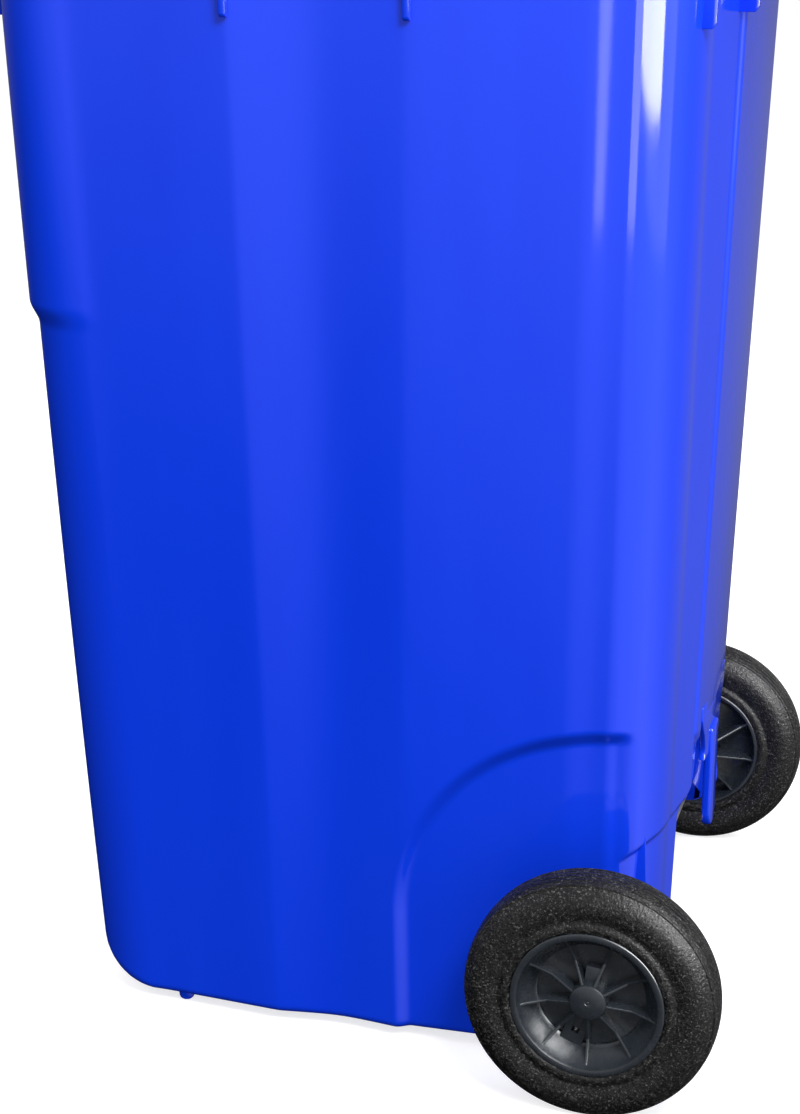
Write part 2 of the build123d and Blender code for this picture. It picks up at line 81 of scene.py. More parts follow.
# Container walls
BASE_Z = 8.0
WALL = 4.0
SIDE_AT_BASE = 203.0
SIDE_SLOPE = 0.06596
FRONT_CURVE = (-294.3, -0.0421, 1.66e-5)
REAR_AT_BASE = 197.3
REAR_SLOPE = 0.0272
REAR_SLANT = 0.14
FRONT_R = 60.0
REAR_R = 45.0
REAR_RX = 85.0
FRONT_EDGE_R = 37.0
SIDE_EDGE_R = 8.0
STEP_OUT = 6.0
STEP_Z = (587.0, 606.0)
RIDGE_OUT = 8.0
RIDGE_A = (-118.0, -0.0081)
VALLEY = (-66.0, 0.006)
RIDGE_B = (-11.0, 0.0232)
PANEL_OUT = 5.0
PANEL_CROWN = (0.65, 0.35)
PANEL_EDGE = 4.5
PANEL_FOOT_Z = 245.0
PANEL_RISE = 755.0
PANEL_HALF = (80.0, 105.0)
ARCH_CENTRE_Z = 120.0
ARCH_R = 170.0
ARCH_DEPTH = 6.5

# Collar, ribs, hinge and handles
COLLAR_TOP = 1000.0
COLLAR_DROP = 38.0
COLLAR_HALF_X = 284.0
COLLAR_Y = (-358.0, 250.0)
COLLAR_R = 62.0
COLLAR_T = 3.7
COLLAR_EDGE_R = 4.0
RIB_T = 5.0
RIB_FOOT = 822.0
COMB_PITCH = 40.0
COMB_T = 3.0
HANDLE_R = 13.0
HANDLE_Y = BODY_HIGH[1] - HANDLE_R
HANDLE_Z = 985.0
PIN_BORE_R = 6.05

# Wheel brackets, tunnel and tongue under the rear
TUNNEL_HALF = 184.0
TUNNEL_ROOF = 245.0
TUNNEL_LINE = [(95, 8), (95, 70), (108, 150), (190, TUNNEL_ROOF), (210, TUNNEL_ROOF)]
BRACKET_END_R = 30.0
BOSS_R = 19.0
AXLE_BORE_R = 10.05
APRON_IN = 104.0
APRON_T = 3.6
APRON_FOOT = 100.0
TAB_TIP = 132.0
TAB_HALF = 15.0
FOOT_X = 192.0
FOOT_Y = AXLE_Y - 367.0

# Lid
LID_RIM_Z = 1008.0
LID_EDGE_Z = 1014.0
LID_FRONT_Y = -362.0
LID_REAR_Y = 263.0
LID_R = 64.0
LID_T = 3.0
DOME_REACH = 150.0
GRIP_HALF = 130.0

# Wheels
TYRE_MID = (TYRE_LOW[0] + TYRE_HIGH[0]) / 2
TREAD_R = 100.0
GROOVE_DEPTH = 1.3
SEAT_R = 60.2
RIM_BACK = 247.5
HUB_FACE = 287.3
HUB_BACK = 222.0
HUB_R = 14.5
WEB_FRONT = 270.0
WEB_BACK = 266.0
SPOKES = 9
SPOKE_HALF = 1.15
HUB_IN = 12.0
CATCH_ANGLE = 250.0
CATCH_BOX_X = (263.0, 275.0)
CHANNEL_X = (266.35, 271.65)
CHANNEL_HALF = 6.15
CHANNEL_R = (5.0, 41.1)
WINDOW_HALF = 3.0
WINDOW_R = (17.0, 35.5)
STOP_ANGLE = 84.0
SPRING_X = 269.0
SPRING_SPAN = (30.5, 40.5)
SPRING_TURNS = 6
SPRING_R = 1.55
SPRING_WIRE_R = 0.4


def smoothstep(t):
    """From 0 to 1 as t goes from 0 to 1, level at both ends."""
    t = np.clip(t, 0.0, 1.0)
    return t * t * (3 - 2 * t)


def smooth_ramp(d, width):
    """Zero for d well below 0, d well above it, with a bend of this width in between."""
    return (np.sqrt(d * d + width * width) + d) / 2


def side_x(z):
    """The x of the right wall's plain taper."""
    return SIDE_AT_BASE + SIDE_SLOPE * (z - BASE_Z)


def front_y(z):
    """The y of the front wall, which bows a little."""
    a, b, c = FRONT_CURVE
    return a + b * z + c * z * z


def rear_y(z):
    """The y of the rear wall."""
    return REAR_AT_BASE + REAR_SLOPE * (z - BASE_Z)


def panel_x(z):
    """Half the width of the rear wall's raised panel."""
    low, high = PANEL_HALF
    return low + (z - PANEL_FOOT_Z) * ((high - low) / PANEL_RISE)


def panel_end(z):
    """Half the width of the panel's rounded lower end."""
    return 40.0 + 62.0 * np.sqrt(np.clip((z - 228.0) / 42.0, 0, 40))


def rear_corner_y(z):
    """Where the rear wall meets its corner: it slants forward beside the panel."""
    return rear_y(z) - REAR_SLANT * (side_x(z) - REAR_RX - panel_x(z))


def ridge_a(z):
    """The y of the side wall's front ridge."""
    return RIDGE_A[0] + RIDGE_A[1] * z


def valley(z):
    """The y of the hollow between the ridges."""
    return VALLEY[0] + VALLEY[1] * z


def ridge_b(z):
    """The y of the side wall's rear ridge."""
    return RIDGE_B[0] + RIDGE_B[1] * z


def side_relief(y, z):
    """How far the side wall's ridges stand out from its plain taper."""
    a, v, b = ridge_a(z), valley(z), ridge_b(z)
    start = front_y(z) + FRONT_R + 12
    end = rear_corner_y(z) - REAR_R
    rise = RIDGE_OUT / (a - start)
    fall = RIDGE_OUT / (v - a)
    lift = RIDGE_OUT / (b - v)
    out = rise * smooth_ramp(y - start, 10.0)
    out -= (rise + fall) * smooth_ramp(y - a, 3.0)
    out += (fall + lift) * smooth_ramp(y - v, 18.0)
    back = smooth_ramp(y - b, 4.0)
    out -= (lift + 0.012) * back
    out -= 0.00014 * back * back
    return out * smoothstep((end + 4 - y) / 34)


def arch_depth(y, z, nx):
    """How far the skin is set back in the wheel-arch recess, and in the step below and behind it."""
    radius = np.hypot(y - AXLE_Y, z - ARCH_CENTRE_Z)
    left = np.where(z > ARCH_CENTRE_Z, ARCH_R - radius, y - (AXLE_Y - ARCH_R))
    arch = ARCH_DEPTH * smoothstep(left / 14 + 0.5) * smoothstep((AXLE_Y + 12 - y) / 15 + 0.5)
    back = y - AXLE_Y
    step_z = 179.0 + 12.0 * smoothstep(1.4 - 1.4 * nx)
    deep = 2.6 + 4.9 * nx * nx
    low = deep * smoothstep((step_z - z) / 6 + 0.5) * smoothstep((back + 6) / 12)
    return np.maximum(np.where(nx > 0.01, arch, 0.0), low)


def mesh_object(name, vertices, faces):
    """A mesh object from millimetre vertices."""
    mesh = bpy.data.meshes.new(name)
    mesh.from_pydata([tuple(v) for v in np.asarray(vertices, float) * MM], [], [tuple(f) for f in faces])
    mesh.validate()
    obj = bpy.data.objects.new(name, mesh)
    bpy.context.scene.collection.objects.link(obj)
    tidy_normals(obj)
    shade(obj)
    return obj


def tidy_normals(obj):
    """Turn every face outwards."""
    bm = bmesh.new()
    bm.from_mesh(obj.data)
    bmesh.ops.recalc_face_normals(bm, faces=bm.faces)
    bm.to_mesh(obj.data)
    bm.free()


def shade(obj, angle=32.0):
    """Smooth shading, with edges sharper than the angle kept crisp."""
    mesh = obj.data
    mesh.polygons.foreach_set("use_smooth", [True] * len(mesh.polygons))
    bm = bmesh.new()
    bm.from_mesh(mesh)
    limit = radians(angle)
    for edge in bm.edges:
        edge.smooth = len(edge.link_faces) == 2 and edge.calc_face_angle(0.0) < limit
    bm.to_mesh(mesh)
    bm.free()
    mesh.update()


def ring_faces(rings, count, caps=True):
    """Quads between closed rings of count points each, with the first and last ring filled or left open."""
    faces = []
    for j in range(rings - 1):
        for i in range(count):
            k = (i + 1) % count
            faces.append((j * count + i, j * count + k, (j + 1) * count + k, (j + 1) * count + i))
    if caps:
        faces.append(tuple(range(count))[::-1])
        faces.append(tuple(range((rings - 1) * count, rings * count)))
    return faces


def ring_object(name, rings):
    """A closed skin through rings of points, each an array of (x, y, z) rows."""
    return mesh_object(name, np.concatenate(rings), ring_faces(len(rings), len(rings[0])))


def lathe(name, profile, segments, x_sign=1.0, angle=32.0):
    """A solid turned about the axle line from a closed outline of (x, radius) points."""
    turns = np.linspace(0, 2 * pi, segments, endpoint=False)
    vertices = []
    for x, r in profile:
        vertices.append(np.stack([np.full_like(turns, x * x_sign), AXLE_Y + r * np.cos(turns),
                                  AXLE_Z + r * np.sin(turns)], 1))
    count = len(profile)
    faces = []
    for j in range(count):
        k = (j + 1) % count
        for i in range(segments):
            m = (i + 1) % segments
            faces.append((j * segments + i, j * segments + m, k * segments + m, k * segments + i))
    obj = mesh_object(name, np.concatenate(vertices), faces)
    merge_close(obj)
    shade(obj, angle=angle)
    return obj


def merge_close(obj, distance=0.0005):
    """Join vertices that lie on the axle line or on each other."""
    bm = bmesh.new()
    bm.from_mesh(obj.data)
    bmesh.ops.remove_doubles(bm, verts=bm.verts, dist=distance * MM)
    bmesh.ops.dissolve_degenerate(bm, dist=distance * MM, edges=bm.edges)
    bmesh.ops.recalc_face_normals(bm, faces=bm.faces)
    bm.to_mesh(obj.data)
    bm.free()


def prism(name, outline, axis, low, high, bevel=0.0, segments=3):
    """A plate through an outline: (y, z) points along X, or (x, z) points along Y."""
    order = {"X": (1, 2, 0), "Y": (0, 2, 1)}[axis]
    rings = []
    for level in (low, high):
        ring = np.zeros((len(outline), 3))
        ring[:, order[0]] = [p[0] for p in outline]
        ring[:, order[1]] = [p[1] for p in outline]
        ring[:, order[2]] = level
        rings.append(ring)
    obj = ring_object(name, rings)
    if bevel:
        round_edges(obj, bevel, segments)
    return obj


def round_edges(obj, width, segments=3, angle=25.0):
    """Round every edge sharper than the angle."""
    bm = bmesh.new()
    bm.from_mesh(obj.data)
    sharp = [e for e in bm.edges if len(e.link_faces) == 2 and e.calc_face_angle(0.0) > radians(angle)]
    bmesh.ops.bevel(bm, geom=sharp, offset=width * MM, segments=segments, profile=0.5, affect="EDGES",
                    clamp_overlap=True)
    bmesh.ops.recalc_face_normals(bm, faces=bm.faces)
    bm.to_mesh(obj.data)
    bm.free()
    shade(obj)


def arc(centre, radius, start, end, count):
    """Points on an arc in a plane, between two angles in degrees."""
    angles = np.radians(np.linspace(start, end, count))
    return [(centre[0] + radius * cos(a), centre[1] + radius * sin(a)) for a in angles]


def bar_x(name, radius, low, high, y, z, bevel=0.0, segments=48):
    """A round bar along X."""
    obj = prism(name, arc((y, z), radius, 0, 360 - 360 / segments, segments), "X", low, high)
    if bevel:
        round_edges(obj, bevel, 3, 60.0)
    shade(obj, angle=40.0)
    return obj


def boolean(obj, tools, operation):
    """Cut, join or intersect with closed tool meshes, which are used up."""
    for tool in tools:
        modifier = obj.modifiers.new("cut", "BOOLEAN")
        modifier.operation = operation
        modifier.solver = "MANIFOLD"
        modifier.object = tool
    bpy.context.view_layer.update()
    evaluated = obj.evaluated_get(bpy.context.evaluated_depsgraph_get())
    mesh = bpy.data.meshes.new_from_object(evaluated)
    obj.modifiers.clear()
    obj.data = mesh
    for tool in tools:
        bpy.data.objects.remove(tool)
    shade(obj)
    return obj


def join(name, objects):
    """One object out of several."""
    bm = bmesh.new()
    for obj in objects:
        bm.from_mesh(obj.data)
    mesh = bpy.data.meshes.new(name)
    bm.to_mesh(mesh)
    bm.free()
    for obj in objects:
        bpy.data.objects.remove(obj)
    joined = bpy.data.objects.new(name, mesh)
    bpy.context.scene.collection.objects.link(joined)
    return joined


def mirrored(name, obj):
    """A copy mirrored to the other side of the bin."""
    copy = bpy.data.objects.new(name, obj.data.copy())
    bpy.context.scene.collection.objects.link(copy)
    copy.data.transform(Matrix.Scale(-1, 4, (1, 0, 0)))
    copy.data.flip_normals()
    return copy


# Container shell: half a ring of stations from the middle of the front to the middle of the rear


def half_stations():
    """(section, share of the section) of each station round the right half."""
    counts = {"front": 26, "front_corner": 20, "side": 210, "rear_corner": 26, "rear": 10, "edge": 8,
              "panel": 14}
    stations = []
    for section, count in counts.items():
        shares = np.linspace(0, 1, count, endpoint=False)
        stations += [(section, s) for s in shares]
    return stations + [("panel", 1.0)]


def half_outline(z):
    """x, y and outward normals at height array z (rows by stations), without relief."""
    stations = half_stations()
    x = np.zeros_like(z)
    y = np.zeros_like(z)
    nx = np.zeros_like(z)
    ny = np.zeros_like(z)
    side = side_x(z)
    front = front_y(z)
    rear = rear_y(z)
    corner = rear_corner_y(z)
    panel = panel_x(z)
    for k, (section, s) in enumerate(stations):
        sd, fr, rr, cr, pn = side[:, k], front[:, k], rear[:, k], corner[:, k], panel[:, k]
        if section == "front":
            x[:, k] = (sd - FRONT_R) * s
            y[:, k] = fr
            ny[:, k] = -1
        elif section == "front_corner":
            a = s * pi / 2
            nx[:, k] = sin(a)
            ny[:, k] = -cos(a)
            x[:, k] = sd - FRONT_R + FRONT_R * sin(a)
            y[:, k] = fr + FRONT_R - FRONT_R * cos(a)
        elif section == "side":
            x[:, k] = sd
            y[:, k] = fr + FRONT_R + (cr - REAR_R - fr - FRONT_R) * s
            nx[:, k] = 1
        elif section == "rear_corner":
            a = s * pi / 2
            slope = np.hypot(REAR_R * cos(a), REAR_RX * sin(a))
            nx[:, k] = REAR_R * cos(a) / slope
            ny[:, k] = REAR_RX * sin(a) / slope
            x[:, k] = sd - REAR_RX + REAR_RX * cos(a)
            y[:, k] = cr - REAR_R + REAR_R * sin(a)
        else:
            ny[:, k] = 1
            outer = pn + PANEL_EDGE
            inner = pn - PANEL_EDGE
            if section == "rear":
                x[:, k] = sd - REAR_RX + (outer - sd + REAR_RX) * s
            elif section == "edge":
                x[:, k] = outer + (inner - outer) * s
            else:
                x[:, k] = inner * (1 - s)
            y[:, k] = rr - REAR_SLANT * np.maximum(x[:, k] - pn, 0)
    return x, y, nx, ny


def wall_offset(x, y, z, nx):
    """How far the outer skin stands out of the plain taper: ridges, front step, arch and rear panel."""
    stations = half_stations()
    names = np.array([s[0] for s in stations])[None, :]
    corner_end = front_y(z) + FRONT_R
    step_fade = 1 - smoothstep((y - corner_end + 48) / 62)
    step_fade = np.where((names == "front") | (names == "front_corner") | (names == "side"), step_fade, 0.0)
    out = STEP_OUT * smoothstep((z - STEP_Z[0]) / (STEP_Z[1] - STEP_Z[0])) * step_fade
    out = out + np.where(names == "side", side_relief(y, z), 0.0)
    is_rear = (names == "rear") | (names == "edge") | (names == "panel")
    side_or_rear = (names == "side") | (names == "rear_corner") | is_rear
    out = out - np.where(side_or_rear, arch_depth(y, z, nx), 0.0)
    half = np.minimum(panel_x(z), panel_end(z))
    low_crown, high_crown = PANEL_CROWN
    crown = low_crown + (high_crown - low_crown) * smoothstep((z - PANEL_FOOT_Z) / 700)
    panel = PANEL_OUT * (1 - crown * (x / half) ** 2)
    return out + np.where(is_rear, panel * smoothstep((half - x) / 7 + 0.5), 0.0)


def edge_radius():
    """The bottom edge's radius at each station."""
    radii = []
    for section, s in half_stations():
        share = {"front": 1.0, "front_corner": cos(s * pi / 2) ** 1.3}.get(section, 0.0)
        radii.append(SIDE_EDGE_R + (FRONT_EDGE_R - SIDE_EDGE_R) * share)
    return np.array(radii)[None, :]


def full_rings(x, y, z):
    """Whole rings from the right half's rows."""
    right = np.stack([x, y, z], 2)
    left = right[:, -2:0:-1].copy()
    left[:, :, 0] *= -1
    return list(np.concatenate([right, left], 1))


def skin_rings(levels, turns, thickness):
    """Rings of a skin that lies this far inside the outer one: its rounded bottom edge, then the levels."""
    radius = edge_radius() - thickness
    rows = []
    insets = []
    floor = BASE_Z + thickness
    for phi in np.linspace(0, pi / 2, turns):
        rows.append(floor + radius * (1 - cos(phi)))
        insets.append(radius * (1 - sin(phi)))
    low = BASE_Z + SIDE_EDGE_R
    for level in levels:
        start = floor + radius
        stretch = np.where(level < 110, start + (level - low) * (110 - start) / (110 - low), level)
        rows.append(stretch)
        insets.append(np.zeros_like(radius))
    z = np.concatenate(rows)
    inset = np.concatenate(insets) + thickness
    x, y, nx, ny = half_outline(z)
    out = wall_offset(x, y, z, nx) - inset
    return x + nx * out, y + ny * out, z, nx, ny


def collar_profile(outer, inner, nx, ny):
    """The flange and skirt round the mouth, as rows from the inner wall's top to the outer wall's."""
    z = np.full_like(nx, COLLAR_TOP)
    fx = np.zeros_like(nx)
    fy = np.zeros_like(nx)
    cx = COLLAR_HALF_X - COLLAR_R
    front, rear = COLLAR_Y
    for k, (section, s) in enumerate(half_stations()):
        if section == "front":
            fx[:, k] = cx * s
            fy[:, k] = front
        elif section == "front_corner":
            fx[:, k] = cx + COLLAR_R * nx[0, k]
            fy[:, k] = front + COLLAR_R * (1 + ny[0, k])
        elif section == "side":
            fx[:, k] = COLLAR_HALF_X
            fy[:, k] = front + COLLAR_R + (rear - front - 2 * COLLAR_R) * s
        elif section == "rear_corner":
            fx[:, k] = cx + COLLAR_R * nx[0, k]
            fy[:, k] = rear - COLLAR_R * (1 - ny[0, k])
        else:
            fx[:, k] = outer[0][:, k] * cx / (side_x(COLLAR_TOP) - REAR_RX)
            fy[:, k] = rear
    rows = []

    def add(share, back, height):
        px = inner[0] + (fx - inner[0]) * share - nx * back
        py = inner[1] + (fy - inner[1]) * share - ny * back
        rows.append((px, py, z - height))

    add(0.0, -0.6, 0.7)
    add(0.0, -2.0, 0.0)
    for share in (0.3, 0.6, 0.85):
        add(share, 0.0, 0.0)
    for phi in np.linspace(0, pi / 2, 5):
        add(1.0, COLLAR_EDGE_R * (1 - sin(phi)), COLLAR_EDGE_R * (1 - cos(phi)))
    for height in (10.0, 20.0, 30.0, COLLAR_DROP - 1.8):
        add(1.0, 0.0, height)
    for back, height in ((0.5, 0.5), (1.8, 0.0), (3.2, 0.5), (COLLAR_T, 1.8)):
        add(1.0, back, COLLAR_DROP - height)
    for height in (24.0, 12.0, 7.0):
        add(1.0, COLLAR_T, height)
    add(1.0, 4.6, 4.8)
    add(1.0, 7.0, 4.0)
    for out, height in ((3.0, 4.0), (0.9, 4.9)):
        rows.append((outer[0] + nx * out, outer[1] + ny * out, z - height))
    return rows


def shell_levels():
    """Heights of the outer skin's rings, close together where its shape changes."""
    levels = list(np.arange(19.0, 160.0, 4.0))
    levels += list(np.arange(160.0, 312.0, 2.0))
    levels += list(np.arange(318.0, 576.0, 14.0))
    levels += list(np.arange(580.0, 614.0, 2.0))
    levels += list(np.arange(620.0, 992.0, 16.0))
    return levels + [992.0]


def floor_rings(ring, z, shares):
    """Rings that close a floor in towards the middle."""
    centre = ring.mean(0)
    rings = []
    for share in shares:
        inner = centre + (ring - centre) * share
        inner[:, 2] = z
        rings.append(inner)
    return rings


def container_shell():
    """The walls, floor and collar as one closed skin."""
    ox, oy, oz, nx, ny = skin_rings(shell_levels(), 10, 0.0)
    inner_levels = list(np.arange(22.0, 330.0, 9.0)) + list(np.arange(340.0, 990.0, 26.0)) + [997.0]
    ix, iy, iz = skin_rings(inner_levels, 7, WALL)[:3]
    outer = full_rings(ox, oy, oz)
    inner = full_rings(ix, iy, iz)
    top = (ox[-1:], oy[-1:])
    top_in = (ix[-1:], iy[-1:])
    collar = []
    for px, py, pz in collar_profile(top, top_in, nx[-1:], ny[-1:]):
        collar += full_rings(px, py, pz)
    under = floor_rings(outer[0], BASE_Z, (0.12, 0.5, 0.8, 0.95))
    above = floor_rings(inner[0], BASE_Z + WALL, (0.95, 0.8, 0.5, 0.12))
    rings = under + outer + collar[::-1] + inner[::-1] + above
    return ring_object("container_shell", rings)


# Wheel brackets, tunnel and tongue under the rear


def bracket_end():
    """(y, z) points round a bracket's lower end, from its front to its rear."""
    return [(104, 14)] + arc((AXLE_Y, AXLE_Z), BRACKET_END_R, 212, 360, 22)


def skin_core(thickness):
    """The lower part of the space that lies this far inside the container's outer skin."""
    x, y, z = skin_rings(list(np.arange(22.0, 270.0, 6.0)), 7, thickness)[:3]
    return ring_object("core", full_rings(x, y, z))


def cut_shell(shell):
    """Open the axle tunnel, leave an apron at each side of its mouth, and round off the brackets."""
    floor = [(95, -20), (95, 70), (95, APRON_FOOT), (290, APRON_FOOT), (290, -20)]
    cuts = [prism("floor_cut", floor, "X", -TUNNEL_HALF, TUNNEL_HALF)]
    mouth = [(APRON_IN, 20), (APRON_IN, 182), (93, 191), (66, 203), (62, 250)]
    cuts.append(prism("mouth", mouth + [(-x, z) for x, z in mouth[::-1]], "Y", 178, 300))
    below = bracket_end() + [(186, 150), (186, 190), (290, 190), (290, -20), (104, -20)]
    for sign in (-1, 1):
        low, high = sorted((sign * (TUNNEL_HALF - 0.5), sign * 320.0))
        cuts.append(prism("under", below, "X", low, high))
    for cut in cuts:
        shell = boolean(shell, [cut], "DIFFERENCE")
    return shell


def tunnel_liner():
    """The folded wall over the tunnel, let into the walls, which closes the container above the axle."""
    roof = TUNNEL_ROOF + WALL
    outer = [(95 - WALL, 8), (91.4, 71), (104.6, 152), (188.2, roof), (210, roof)]
    liner = prism("tunnel_liner", outer + TUNNEL_LINE[::-1], "X", -240, 240)
    return boolean(liner, [skin_core(WALL / 2)], "INTERSECT")


def bracket(sign):
    """A bracket's inner plate with its bearing boss."""
    plate = [(95, 8)] + bracket_end() + [(186, 150), (182, 238), (109, 152), (95, 71)]
    low, high = sorted((sign * TUNNEL_HALF, sign * (TUNNEL_HALF + WALL)))
    inner = prism("bracket", plate, "X", low, high, 1.0, 2)
    low, high = sorted((sign * (TUNNEL_HALF + 0.5), sign * 221.4))
    boss = bar_x("boss", BOSS_R, low, high, AXLE_Y, AXLE_Z, 1.2)
    bore_low, bore_high = sorted((sign * (TUNNEL_HALF - 4), sign * 230.0))
    hole = bar_x("hole", AXLE_BORE_R, bore_low, bore_high, AXLE_Y, AXLE_Z)
    part = boolean(inner, [boss], "UNION")
    return boolean(part, [hole], "DIFFERENCE")


def apron_wall(sign):
    """The turned-in edge of an apron, rounded at its lower front corner."""
    outline = [(197.8, 236), (182, 236), (176, 228)] + arc((201, 135), 25, 180, 251, 10)
    outline += [(193.6, 185), (196.3, 197)]
    low, high = sorted((sign * APRON_IN, sign * (APRON_IN + APRON_T)))
    return prism("apron_wall", outline, "X", low, high, 0.8, 2)


def tongue():
    """The flap under the rear panel and the narrow tab that hangs from its middle."""
    half = arc((0, TAB_TIP + TAB_HALF), TAB_HALF, 270, 360, 12) + [(TAB_HALF, 226)]
    tab = prism("tab", half + [(-x, z) for x, z in half[:0:-1]], "Y", 203.4, 211.2, 2.4, 4)
    half = [(0, 205), (TAB_HALF, 205)] + arc((46, 214), 8, 240, 150, 5)
    half += [(46, 231), (56, 241), (62, 250), (62, 262)]
    flap = prism("flap", half + [(-x, z) for x, z in half[:0:-1]], "Y", 202.6, 208.3, 1.4, 3)
    return boolean(flap, [tab], "UNION")


def foot_nub(sign):
    """A small moulded foot under the front of the base."""
    profile = [(0.01, 0.0), (2.6, 0.0), (4.6, 0.5), (5.9, 1.7), (6.5, 3.6), (6.9, 8.0), (7.2, 14.0),
               (0.01, 14.0)]
    rings = []
    for r, z in profile:
        points = arc((sign * FOOT_X, FOOT_Y), r, 0, 345, 24)
        rings.append(np.array([(x, y, z) for x, y in points]))
    return ring_object("foot_nub", rings)


# Ribs under the collar, hinge lugs and handles


def side_gusset(y, x_out):
    """A rib on the right side wall under the collar, blunt at its lower end."""
    foot = RIB_FOOT + 6.0
    low = side_x(foot) + x_out
    high = side_x(COLLAR_TOP) + x_out
    outline = [(low - 20, foot)] + arc((low - 3.5, foot + 3.5), 3.5, 270, 355, 5)
    outline += [(high, COLLAR_TOP - 3), (high - 20, COLLAR_TOP - 3)]
    return prism("gusset", outline, "Y", y - RIB_T / 2, y + RIB_T / 2, 0.9, 2)


def end_gusset(x, wall, sign, out, foot=RIB_FOOT):
    """A rib on the front (sign -1) or rear (+1) wall."""
    low = wall(foot) + sign * out
    high = wall(COLLAR_TOP) + sign * out
    outline = [(low - sign * 20, foot), (low - sign * 3, foot), (low, foot + 3.5)]
    outline += [(high, COLLAR_TOP - 3), (high - sign * 20, COLLAR_TOP - 3)]
    return prism("gusset", outline, "X", x - RIB_T / 2, x + RIB_T / 2, 0.9, 2)


def front_wall(z):
    """The y of the front wall above its step."""
    return front_y(z) - STEP_OUT


def gussets():
    """Every rib under the collar and the partitions of the comb pockets."""
    ribs = []
    for y, out in ((ridge_a(900.0), 14.5), (ridge_b(900.0), 13.5)):
        rib = side_gusset(y, out)
        ribs += [rib, mirrored("gusset", rib)]
    for sign in (-1, 1):
        ribs.append(end_gusset(sign * 205.0, front_wall, -1, 10.0))
        ribs.append(end_gusset(sign * 107.0, rear_y, 1, 13.5, RIB_FOOT + 6.0))
        ribs.append(end_gusset(sign * 202.0, rear_y, 1, -3.5))
    wall = front_wall(COLLAR_TOP - COLLAR_DROP)
    skirt = COLLAR_Y[0] + 2.2
    outline = [(wall + 6, 950), (wall - 7, 950), (skirt, 961), (skirt, 997), (wall + 6, 997)]
    for i in range(-5, 6):
        x = i * COMB_PITCH
        ribs.append(prism("partition", outline, "X", x - COMB_T / 2, x + COMB_T / 2, 0.7, 2))
    return ribs


def tangent_hull(circles, extra=()):
    """The convex outline round circles of (y, z, radius) and extra points."""
    points = list(extra)
    for y, z, r in circles:
        points += arc((y, z), r, 0, 350, 36)
    points = sorted(set((round(a, 4), round(b, 4)) for a, b in points))

    def chain(sequence):
        out = []
        for p in sequence:
            while len(out) > 1 and ((out[-1][0] - out[-2][0]) * (p[1] - out[-2][1])
                                    - (out[-1][1] - out[-2][1]) * (p[0] - out[-2][0])) <= 0:
                out.pop()
            out.append(p)
        return out[:-1]

    return chain(points) + chain(points[::-1])


def lug(low, high, holds_handle):
    """A hinge lug on the rear wall, between two x values. The outermost one starts further forward."""
    wall = 201.8 if low > 200 else rear_y(970.0) - 3
    handle = (HANDLE_Y, HANDLE_Z, HANDLE_R - 0.1)
    circles = [(HINGE_Y, HINGE_Z, 14.0)]
    arm_end = [(HINGE_Y - 4, HINGE_Z - 8), (HINGE_Y - 10, HINGE_Z - 34)]
    if holds_handle:
        circles.append(handle)
        arm_end = [(HINGE_Y - 2, HINGE_Z - 6), (HANDLE_Y, HANDLE_Z - 12.5)]
    head = prism("lug", tangent_hull(circles), "X", low, high, 1.2, 3)
    arm = [(wall, 974), (258, 975), (280, 978)] + arm_end + [(wall + 14, 940), (wall, 930)]
    plate = prism("arm", arm, "X", low, high, 1.2, 3)
    bore = bar_x("bore", PIN_BORE_R, low - 5, high + 5, HINGE_Y, HINGE_Z)
    return boolean(boolean(head, [plate], "UNION"), [bore], "DIFFERENCE")


def handle_bar():
    """A grip bar between the two outer lugs of the right side, slightly waisted."""
    middle = 168.5
    half = [(0.0, 11.8), (23.5, 11.9), (46.5, 12.3), (55.5, 12.6), (63.5, 12.4)]
    rings = []
    for x, r in [(middle - d, r) for d, r in half[:0:-1]] + [(middle + d, r) for d, r in half]:
        ring = arc((HANDLE_Y, HANDLE_Z), r, 0, 352.5, 48)
        rings.append(np.array([(x, a, b) for a, b in ring]))
    return ring_object("handle_bar", rings)


def hinge_side():
    """The right half's lugs and grip bar."""
    parts = [lug(55.0, 67.0, False), lug(102.0, 112.0, True), lug(225.0, 235.0, True), handle_bar()]
    return join("hinge_side", parts)


def make_container():
    """The whole container moulding."""
    shell = cut_shell(container_shell())
    parts = [shell, tunnel_liner(), bracket(1), bracket(-1), apron_wall(1), apron_wall(-1), tongue()]
    parts += [foot_nub(1), foot_nub(-1)] + gussets()
    right = hinge_side()
    parts += [right, mirrored("hinge_side_left", right)]
    return join("container", parts)


# Lid


def lid_height(s):
    """The dome's height at a distance s in from the lid's edge."""
    raised = 2.0
    crown = LID_HIGH[2] - raised
    dome = crown - (crown - LID_EDGE_Z) * (1 - np.clip(s / DOME_REACH, 0, 1)) ** 2.6
    return float(dome + raised * smoothstep((s - 96) / 12))


def lid_ring(inset, z, count=26):
    """A rounded rectangle, inset from the lid's edge."""
    half = LID_HIGH[0] - inset
    front, rear = LID_FRONT_Y + inset, LID_REAR_Y - inset
    r = min(max(LID_R - inset * 0.35, 6.0), half - 0.5)
    corners = [(half - r, front + r), (half - r, rear - r), (r - half, rear - r), (r - half, front + r)]
    points = []
    for centre, start in zip(corners, (-90, 0, 90, 180)):
        points += arc(centre, r, start, start + 90, count)
    return np.array([(x, y, z) for x, y in points])


